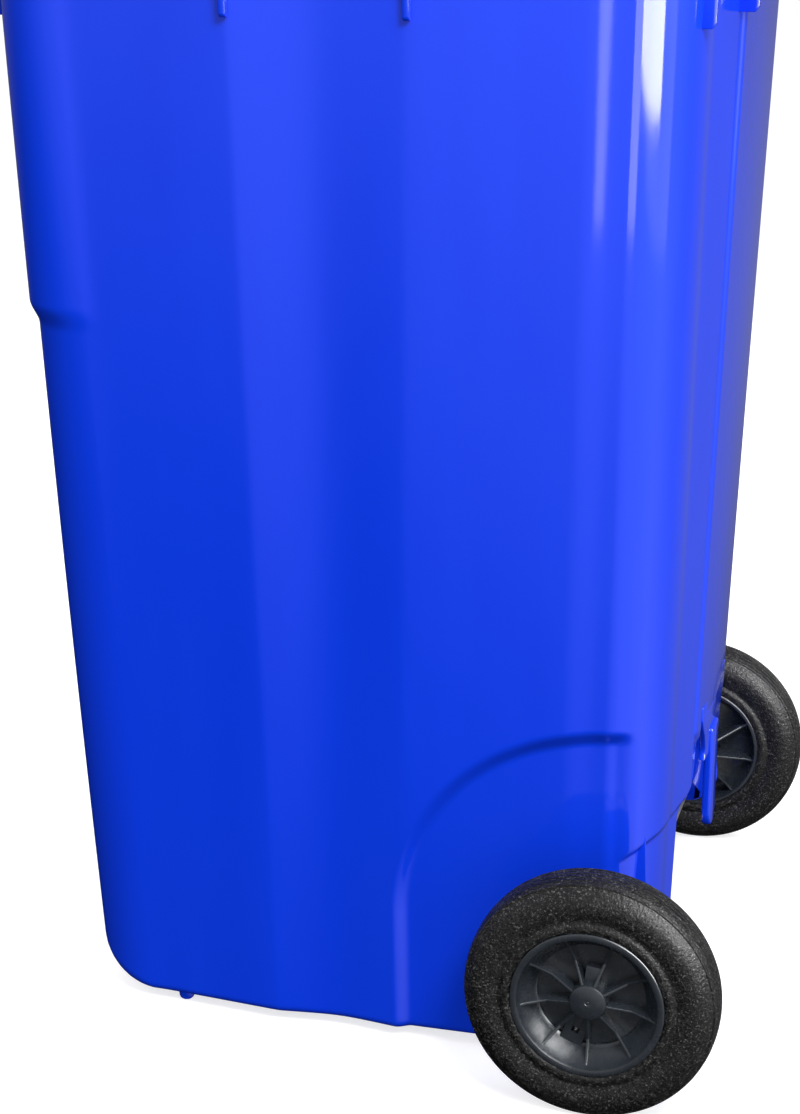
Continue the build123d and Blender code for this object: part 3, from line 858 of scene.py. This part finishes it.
def make_lid():
    """The domed lid with its skirt, front lip and hinge arms."""
    bottom = LID_LOW[2]
    rings = []
    skirt = [(2.6, bottom + 0.7), (1.5, bottom), (0.4, bottom + 0.7), (0.0, bottom + 2.0), (0.0, LID_RIM_Z)]
    for inset, z in skirt:
        rings.append(lid_ring(inset, z))
    for s in (0.3, 1.2, 2.6, 4.6, 7.5, 11, 16, 24, 34, 46, 58, 70, 82, 92, 96, 99, 102, 105, 108, 112, 125,
              150, 190, 230, 262):
        rings.append(lid_ring(s, lid_height(s)))
    outer_count = len(rings)
    for s in (262, 190, 150, 125, 105, 92, 70, 46, 34, 24, 16, 11, 7.5, 5.4, 4.0, 3.2):
        drop = LID_T + max(20 - s, 0) * 0.12
        rings.append(lid_ring(s, lid_height(s) - drop))
    rings.append(lid_ring(LID_T, COLLAR_TOP))
    rings.append(lid_ring(LID_T, bottom + 2.0))
    count = len(rings[0])
    faces = ring_faces(len(rings), count, caps=False)
    split = (outer_count - 1) * count
    faces = [f for f in faces if not (min(f) >= split and max(f) < split + 2 * count)]
    faces.append(tuple(range(split, split + count)))
    faces.append(tuple(range(split + count, split + 2 * count))[::-1])
    last = (len(rings) - 1) * count
    for i in range(count):
        k = (i + 1) % count
        faces.append((last + i, last + k, k, i))
    lid = mesh_object("lid_shell", np.concatenate(rings), faces)
    opening = [(-246, bottom - 5), (246, bottom - 5), (246, 994), (-246, 994)]
    lid = boolean(lid, [prism("notch", opening, "Y", 240, 290)], "DIFFERENCE")
    return join("lid_cover", [lid, lid_grip(), lid_arm(-1), lid_arm(1)])


def lid_grip():
    """The lip along the lid's front edge."""
    y = LID_LOW[1]
    outline = [(y, 995.0), (y, 1004.5), (y + 1.5, 1006.0), (y + 6, 1006.0), (y + 6, 1001.0), (y + 3.2, 994.2),
               (y + 1.4, 993.6)]
    return prism("lid_grip", outline, "X", -GRIP_HALF, GRIP_HALF, 0.6, 2)


def lid_arm(sign):
    """A hinge arm with its knuckle."""
    low, high = sorted((sign * 67.6, sign * 101.4))
    rear = LID_REAR_Y
    outline = [(rear - 20, 1021), (rear - 2, 1001.5), (HINGE_Y - 4, HINGE_Z - 8), (HINGE_Y + 2, HINGE_Z + 10),
               (rear - 6, 1027.5), (rear - 20, 1034)]
    arm = prism("arm", outline, "X", low, high, 1.2, 2)
    knuckle = bar_x("knuckle", 12.0, low, high, HINGE_Y, HINGE_Z, 1.0)
    bore = bar_x("bore", PIN_BORE_R + 0.03, low - 5, high + 5, HINGE_Y, HINGE_Z)
    return boolean(boolean(arm, [knuckle], "UNION"), [bore], "DIFFERENCE")


# Wheels


def tyre_profile():
    """The tyre's closed outline of (x, radius) points: bead ring, bulging wall, shoulder and tread."""
    m = TYRE_MID
    wall = [(21.0, SEAT_R), (21.9, 60.9), (22.6, 62.2), (22.9, 64.0), (22.7, 65.8), (22.0, 67.4),
            (21.2, 68.6), (20.9, 69.8), (21.1, 71.0)]
    widest = 0.38
    for t in np.linspace(0.1, 1, 12):
        bulge = 1.85 * sin(min(t / widest, 1.0) * pi / 2)
        shoulder = 7.2 * max(0.0, (t - widest) / (1 - widest)) ** 2.3
        wall.append((21.1 + bulge - shoulder, 71.0 + 24.6 * t))
    wall += [(15.3, 96.1), (15.2, 97.2), (14.8, 97.9), (14.0, 98.2), (13.4, 98.0)]
    tread = []
    for groove in (-10.4, -5.2, 0.0, 5.2, 10.4):
        crown = TREAD_R - 0.0095 * groove * groove
        bottom = crown - GROOVE_DEPTH
        tread += [(groove - 1.1, crown), (groove - 0.6, bottom)]
        tread += [(groove + 0.6, bottom), (groove + 1.1, crown)]
    outline = [(m - w, r) for w, r in wall] + [(m + w, r) for w, r in tread]
    return outline + [(m + w, r) for w, r in wall[::-1]]


def make_tyre(side, sign):
    """A tyre for the right (sign 1) or left (-1) wheel."""
    return lathe(f"tyre_skin_{side}", tyre_profile(), 192, sign, 24.0)


def rim_profile():
    """The barrel and bowl as a closed outline of (x, radius) points."""
    front = [(RIM_FACE - 0.8, 60.15), (RIM_FACE - 0.15, 59.6), (RIM_FACE, 58.9), (RIM_FACE, 55.9),
             (RIM_FACE - 0.25, 55.2), (RIM_FACE - 0.9, 54.8)]
    start, pull, end = front[-1], (RIM_FACE - 8, 52.0), (WEB_FRONT + 3.5, 43.5)
    for t in np.linspace(0.08, 1, 12):
        u, v, w = (1 - t) ** 2, 2 * t * (1 - t), t * t
        front.append(tuple(u * a + v * b + w * c for a, b, c in zip(start, pull, end)))
    front += [(WEB_FRONT + 2.9, 42.7), (WEB_FRONT, 42.4), (WEB_FRONT, HUB_IN)]
    back = [(WEB_BACK, HUB_IN), (WEB_BACK, 44.0), (WEB_BACK - 3, 50.0), (WEB_BACK - 9, 54.5),
            (RIM_BACK + 1, 56.5), (RIM_BACK, 57.2), (RIM_BACK, 59.4), (RIM_BACK + 0.7, 60.15)]
    return front + back


def turned(obj, angle):
    """A piece drawn up from the X axis, moved to the axle and turned to an angle in degrees from +Y."""
    obj.data.transform(Matrix.Rotation(radians(angle - 90), 4, "X"))
    obj.data.transform(Matrix.Translation((0, AXLE_Y * MM, AXLE_Z * MM)))
    return obj


def spoke(angle, outline):
    """One rib of the wheel centre through (radius, x) points."""
    plate = prism("spoke", [(x, r) for r, x in outline], "Y", -SPOKE_HALF, SPOKE_HALF, 0.5, 2)
    return turned(plate, angle)


def radial_block(name, x_range, half_w, r_range, angle=CATCH_ANGLE, bevel=0.5):
    """A block that points out from the axle."""
    r0, r1 = r_range
    outline = [(-half_w, r0), (half_w, r0), (half_w, r1), (-half_w, r1)]
    return turned(prism(name, outline, "X", *x_range, bevel, 2), angle)


def make_rim(name):
    """The right wheel centre."""
    rim = lathe("rim", rim_profile(), 160, 1.0, 30.0)
    face = HUB_FACE
    hub_profile = [(HUB_BACK, 0.01), (HUB_BACK, HUB_R - 0.9), (HUB_BACK + 0.9, HUB_R), (face - 1.4, HUB_R),
                   (face - 0.5, HUB_R - 0.5), (face, HUB_R - 1.4), (face, 2.4), (face - 0.35, 2.0),
                   (face - 0.35, 1.2), (face + 0.1, 0.9), (face + 0.1, 0.01)]
    parts = [lathe("hub", hub_profile, 96, 1.0, 30.0)]
    front = [(HUB_IN, WEB_FRONT - 1), (HUB_IN, 286.0), (16.0, 285.2), (34.0, 281.0), (49.0, 285.6),
             (55.5, 289.4), (55.8, WEB_FRONT - 1)]
    rear = [(HUB_IN, WEB_BACK + 1), (HUB_IN, 232.0), (50.0, 250.0), (57.0, 250.0), (57.0, WEB_BACK + 1)]
    for i in range(SPOKES):
        angle = -90 + i * 360 / SPOKES
        parts += [spoke(angle, front), spoke(angle, rear)]
    parts.append(radial_block("catch_box", CATCH_BOX_X, 9.0, (HUB_IN, 44.5)))
    parts.append(radial_block("catch_neck", (CATCH_BOX_X[0], 278.0), 6.6, (HUB_IN, 16.2)))
    parts.append(radial_block("stop", (CATCH_BOX_X[0], 279.0), 6.0, (HUB_IN, 27.0), STOP_ANGLE))
    rim = boolean(rim, parts, "UNION")
    cuts = [radial_block("channel", CHANNEL_X, CHANNEL_HALF, CHANNEL_R, bevel=0.0),
            radial_block("window", (270.5, 287.0), WINDOW_HALF, WINDOW_R, bevel=0.0),
            bar_x("bore", AXLE_BORE_R, 220.0, 283.4, AXLE_Y, AXLE_Z)]
    rim = boolean(rim, cuts, "DIFFERENCE")
    rim.name = name
    shade(rim, angle=30.0)
    return rim


def catch_direction():
    """The way a catch slides out from the axle."""
    return np.array([0, cos(radians(CATCH_ANGLE)), sin(radians(CATCH_ANGLE))])


def make_spring(name):
    """The right catch's coil spring, wound round the catch's direction."""
    t = np.linspace(0, 1, 24 * SPRING_TURNS + 1)[:, None]
    turn = 2 * pi * SPRING_TURNS * t
    along = catch_direction()
    radial = np.cos(turn) * np.array([1, 0, 0]) + np.sin(turn) * np.cross(along, (1, 0, 0))
    reach = SPRING_SPAN[0] + (SPRING_SPAN[1] - SPRING_SPAN[0]) * t
    centre = np.array([SPRING_X, AXLE_Y, AXLE_Z]) + along * reach + SPRING_R * radial
    tangent = np.gradient(centre, axis=0)
    tangent /= np.linalg.norm(tangent, axis=1)[:, None]
    side = np.cross(tangent, radial)
    angles = np.linspace(0, 2 * pi, 10, endpoint=False)
    wire = [centre + SPRING_WIRE_R * (radial * cos(a) + side * sin(a)) for a in angles]
    return ring_object(name, list(np.stack(wire, 1)))


def add_springs(steel):
    """Both catch springs, each a fixed coil put in its CAD node's place and carried with its catch; in the
    real bin they shorten against the end of their channels as the catches slide out.
    """
    right = make_spring("catch_spring_right")
    left = mirrored("catch_spring_left", right)
    shade(left)
    for side, obj in (("right", right), ("left", left)):
        dress(obj, f"latch_spring_{side}", f"latch_{side}", steel)
        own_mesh(obj)


def make_wheels():
    """Both wheels' tyres and centres."""
    made = {}
    made["tyre_right"] = make_tyre("right", 1.0)
    made["tyre_left"] = make_tyre("left", -1.0)
    made["wheel_rim_right"] = make_rim("wheel_centre_right")
    made["wheel_rim_left"] = mirrored("wheel_centre_left", made["wheel_rim_right"])
    return made


# Materials


class Nodes:
    """A material's node tree, built a node at a time."""

    def __init__(self, name):
        self.material = bpy.data.materials.new(name)
        self.material.use_nodes = True
        self.tree = self.material.node_tree
        self.bsdf = self.tree.nodes["Principled BSDF"]
        self.coords = self.tree.nodes.new("ShaderNodeTexCoord").outputs["Object"]

    def add(self, kind, **inputs):
        node = self.tree.nodes.new("ShaderNode" + kind)
        for key, value in inputs.items():
            self.put(node.inputs[key.replace("_", " ")], value)
        return node

    def put(self, socket, value):
        if isinstance(value, bpy.types.NodeSocket):
            self.tree.links.new(value, socket)
        else:
            socket.default_value = value

    def noise(self, scale, detail=3.0, roughness=0.5, vector=None):
        node = self.add("TexNoise", Scale=scale, Detail=detail, Roughness=roughness)
        self.put(node.inputs["Vector"], vector or self.coords)
        return node.outputs["Fac"]

    def ramp(self, fac, stops):
        node = self.tree.nodes.new("ShaderNodeValToRGB")
        elements = node.color_ramp.elements
        while len(elements) < len(stops):
            elements.new(0.5)
        for element, (place, colour) in zip(elements, stops):
            element.position = place
            element.color = colour if len(colour) == 4 else (*colour, 1)
        self.put(node.inputs["Fac"], fac)
        return node.outputs["Color"]

    def span(self, value, low, high, to_low, to_high):
        node = self.tree.nodes.new("ShaderNodeMapRange")
        keys = ("Value", "From Min", "From Max", "To Min", "To Max")
        for key, given in zip(keys, (value, low, high, to_low, to_high)):
            self.put(node.inputs[key], given)
        return node.outputs["Result"]

    def mix(self, fac, a, b):
        node = self.tree.nodes.new("ShaderNodeMix")
        node.data_type = "RGBA"
        self.put(node.inputs[0], fac)
        self.put(node.inputs[6], a)
        self.put(node.inputs[7], b)
        return node.outputs[2]

    def bump(self, height, strength, distance, normal=None):
        node = self.add("Bump", Strength=strength, Distance=distance, Height=height)
        if normal:
            self.put(node.inputs["Normal"], normal)
        return node.outputs["Normal"]

    def scaled(self, x, y, z):
        node = self.add("Mapping", Scale=(x, y, z))
        self.put(node.inputs["Vector"], self.coords)
        return node.outputs["Vector"]

    def finish(self, **inputs):
        for key, value in inputs.items():
            self.put(self.bsdf.inputs[key.replace("_", " ")], value)
        return self.material


def blue_plastic():
    """Glossy blue polyethylene with faint flow marks and a fine skin texture."""
    n = Nodes("blue_plastic")
    flow = n.noise(2.2, 3.0, 0.5, n.scaled(7, 7, 0.9))
    cloud = n.noise(5.0, 2.0)
    colour = n.ramp(flow, [(0.0, (0.003, 0.037, 0.71)), (1.0, (0.005, 0.050, 0.80))])
    rough = n.span(cloud, 0.0, 1.0, 0.06, 0.11)
    skin = n.noise(700.0, 2.0, 0.6)
    normal = n.bump(skin, 0.04, 0.0003)
    normal = n.bump(n.noise(6.0, 1.0), 0.03, 0.004, normal)
    return n.finish(Base_Color=colour, Roughness=rough, Normal=normal, IOR=1.5)


def dark_plastic():
    """Satin slate-grey plastic of the wheel centres, catches and pins, with faint swirls."""
    n = Nodes("dark_plastic")
    cloud = n.noise(45.0, 3.0)
    colour = n.ramp(cloud, [(0.2, (0.014, 0.018, 0.024)), (0.8, (0.024, 0.030, 0.038))])
    rough = n.span(n.noise(180.0, 2.0), 0.2, 0.8, 0.20, 0.32)
    normal = n.bump(n.noise(1600.0), 0.06, 0.0003)
    return n.finish(Base_Color=colour, Roughness=rough, Normal=normal, IOR=1.5)


def tyre_rubber():
    """Black rubber pressed from crumb: shiny grains, and pale grains in the base colour that are painted
    glints.
    """
    n = Nodes("tyre_rubber")
    grains = n.add("TexVoronoi", Scale=1050.0)
    n.put(grains.inputs["Vector"], n.coords)
    grain = grains.outputs["Color"]
    # Painted glints: this grain tone is partly the rubber's own mottling, and its pale top stops are painted
    # glints of light off the crumb.
    tone = n.ramp(grain, [(0.35, (0.0005, 0.0005, 0.0007)), (0.55, (0.003, 0.003, 0.0035)),
                          (0.75, (0.016, 0.016, 0.017)), (0.92, (0.110, 0.108, 0.102))])
    dust = n.noise(30.0, 4.0, 0.65)
    tint = n.mix(n.span(dust, 0.55, 0.95, 0.0, 0.15), tone, (0.05, 0.048, 0.044, 1))
    normal = n.bump(grain, 1.0, 0.0012)
    normal = n.bump(n.noise(380.0, 3.0, 0.6), 0.8, 0.0010, normal)
    rough = n.span(grain, 0.2, 0.8, 0.42, 0.22)
    return n.finish(Base_Color=tint, Roughness=rough, Normal=normal, IOR=1.45, Specular_IOR_Level=0.28)


def bright_steel():
    """Drawn steel with fine lines along the bar."""
    n = Nodes("bright_steel")
    lines = n.noise(40.0, 4.0, 0.6, n.scaled(1, 60, 60))
    colour = n.ramp(lines, [(0.3, (0.42, 0.43, 0.44)), (0.7, (0.60, 0.61, 0.62))])
    rough = n.span(lines, 0.3, 0.7, 0.25, 0.42)
    return n.finish(Base_Color=colour, Metallic=1.0, Roughness=rough, Normal=n.bump(lines, 0.1, 0.0003))


def paint(obj, material):
    """Give a piece its one material."""
    obj.data.materials.clear()
    obj.data.materials.append(material)


# Stage, light and camera


def make_floor():
    """A pale floor, kept out of the bin's reflections."""
    size = 12.0
    corners = np.array([(-size, -size, 0), (size, -size, 0), (size, size, 0), (-size, size, 0)])
    floor = mesh_object("floor", corners / MM, [(0, 1, 2, 3)])
    n = Nodes("floor_paint")
    tone = n.ramp(n.noise(2.0), [(0.0, (0.50, 0.50, 0.50)), (1.0, (0.54, 0.54, 0.54))])
    glow = (0.72, 0.72, 0.72, 1)
    paint(floor, n.finish(Base_Color=tone, Roughness=0.9, Emission_Color=glow, Emission_Strength=1.0,
                          Specular_IOR_Level=0.0))
    floor.visible_diffuse = False
    floor.visible_glossy = False


def area_light(name, place, target, size, power, seen_in_gloss=True, lights_matt=True):
    """A rectangular light aimed at a target."""
    data = bpy.data.lights.new(name, "AREA")
    data.shape = "RECTANGLE"
    data.size = size[0]
    data.size_y = size[1]
    data.energy = power
    obj = bpy.data.objects.new(name, data)
    bpy.context.scene.collection.objects.link(obj)
    obj.location = place
    obj.rotation_euler = (Vector(target) - Vector(place)).to_track_quat("-Z", "Y").to_euler()
    obj.visible_glossy = seen_in_gloss
    obj.visible_diffuse = lights_matt


def make_world():
    """A white backdrop, and a studio that is dark below and in front, and pale above and behind."""
    world = bpy.data.worlds.new("studio")
    bpy.context.scene.world = world
    world.use_nodes = True
    tree = world.node_tree
    nodes, links = tree.nodes, tree.links
    room = nodes["Background"]
    split = nodes.new("ShaderNodeSeparateXYZ")
    links.new(nodes.new("ShaderNodeTexCoord").outputs["Generated"], split.inputs[0])
    lean = nodes.new("ShaderNodeMath")
    lean.operation = "MULTIPLY_ADD"
    links.new(split.outputs["Y"], lean.inputs[0])
    lean.inputs[1].default_value = 0.45
    links.new(split.outputs["Z"], lean.inputs[2])
    height = nodes.new("ShaderNodeMapRange")
    links.new(lean.outputs[0], height.inputs["Value"])
    across = nodes.new("ShaderNodeMapRange")
    links.new(split.outputs["X"], across.inputs["Value"])
    for node, spans in ((height, (-0.65, -0.12, 0.01, 0.85)), (across, (-0.8, -0.1, 0.24, 1.0))):
        node.interpolation_type = "SMOOTHSTEP"
        for key, value in zip(("From Min", "From Max", "To Min", "To Max"), spans):
            node.inputs[key].default_value = value
    both = nodes.new("ShaderNodeMath")
    both.operation = "MULTIPLY"
    links.new(height.outputs["Result"], both.inputs[0])
    links.new(across.outputs["Result"], both.inputs[1])
    links.new(both.outputs[0], room.inputs["Strength"])
    room.inputs["Color"].default_value = (1, 1, 1, 1)
    seen = nodes.new("ShaderNodeBackground")
    seen.inputs["Color"].default_value = (1, 1, 1, 1)
    pick = nodes.new("ShaderNodeMixShader")
    links.new(nodes.new("ShaderNodeLightPath").outputs["Is Camera Ray"], pick.inputs[0])
    links.new(room.outputs[0], pick.inputs[1])
    links.new(seen.outputs[0], pick.inputs[2])
    links.new(pick.outputs[0], nodes["World Output"].inputs["Surface"])


def make_camera():
    """A camera to the right of the bin and a little behind it, under the collar's height, looking down."""
    data = bpy.data.cameras.new("camera")
    data.sensor_width = 36.0
    data.lens = 72.2
    camera = bpy.data.objects.new("camera", data)
    bpy.context.scene.collection.objects.link(camera)
    camera.location = (1.794, 0.285 + AXLE_Y * MM, 0.939)
    azimuth = radians(106.07)
    elevation = radians(17.49)
    back = Vector((sin(azimuth) * cos(elevation), -cos(azimuth) * cos(elevation), sin(elevation)))
    camera.rotation_euler = back.to_track_quat("Z", "Y").to_euler()
    bpy.context.scene.camera = camera


def make_lights():
    make_world()
    area_light("key", (1.50, 1.05, 2.25), (0.2, 0.05, 0.80), (0.8, 0.8), 60, seen_in_gloss=False)
    area_light("softbox", (1.09, 1.55, 1.34), (0.24, 0.19, 1.34), (1.60, 1.90), 182, lights_matt=False)
    area_light("rear_panel", (0.6, 2.6, 0.9), (0.2, 0.1, 0.8), (2.4, 1.8), 12, lights_matt=False)
    area_light("top", (0.62, 1.45, 2.45), (0.28, 0.13, 0.06), (1.6, 1.2), 62, lights_matt=False)
    area_light("low_glow", (1.95, 0.82, 0.45), (0.27, 0.16, 0.15), (0.8, 0.7), 7, lights_matt=False)
    area_light("rear_fill", (0.0, 2.8, 1.3), (0.0, 0.2, 0.6), (1.6, 1.6), 32, seen_in_gloss=False)
    area_light("top_fill", (0.3, 0.2, 2.8), (0, 0, 0.6), (1.6, 1.6), 14, seen_in_gloss=False)
    area_light("far_fill", (-2.2, -0.6, 1.7), (0, 0, 0.6), (1.6, 1.6), 45, seen_in_gloss=False)
    area_light("front_fill", (-0.4, -2.6, 1.5), (0, 0, 0.6), (1.6, 1.6), 14, seen_in_gloss=False)


def dress(obj, node, body, material):
    """Put a finished piece in a CAD node's place."""
    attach(obj, body)
    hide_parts(node)
    paint(obj, material)


def main():
    bpy.context.scene.view_settings.view_transform = "Standard"
    make_camera()
    make_lights()
    make_floor()
    blue, dark, rubber, steel = blue_plastic(), dark_plastic(), tyre_rubber(), bright_steel()
    dress(make_container(), "body", "container", blue)
    dress(make_lid(), "lid", "lid", blue)
    for node, obj in make_wheels().items():
        side = node.split("_")[-1]
        slot, material = ("tyre_rubber", rubber) if node.startswith("tyre") else ("dark_plastic", dark)
        dress(obj, node, f"wheel_{side}", material)
    for name, obj in frame["nodes"].items():
        if name.startswith(("hinge_pin", "wheel_latch")):
            paint(obj, dark)
        elif name.startswith("axle"):
            paint(obj, steel)
    add_springs(steel)


main()
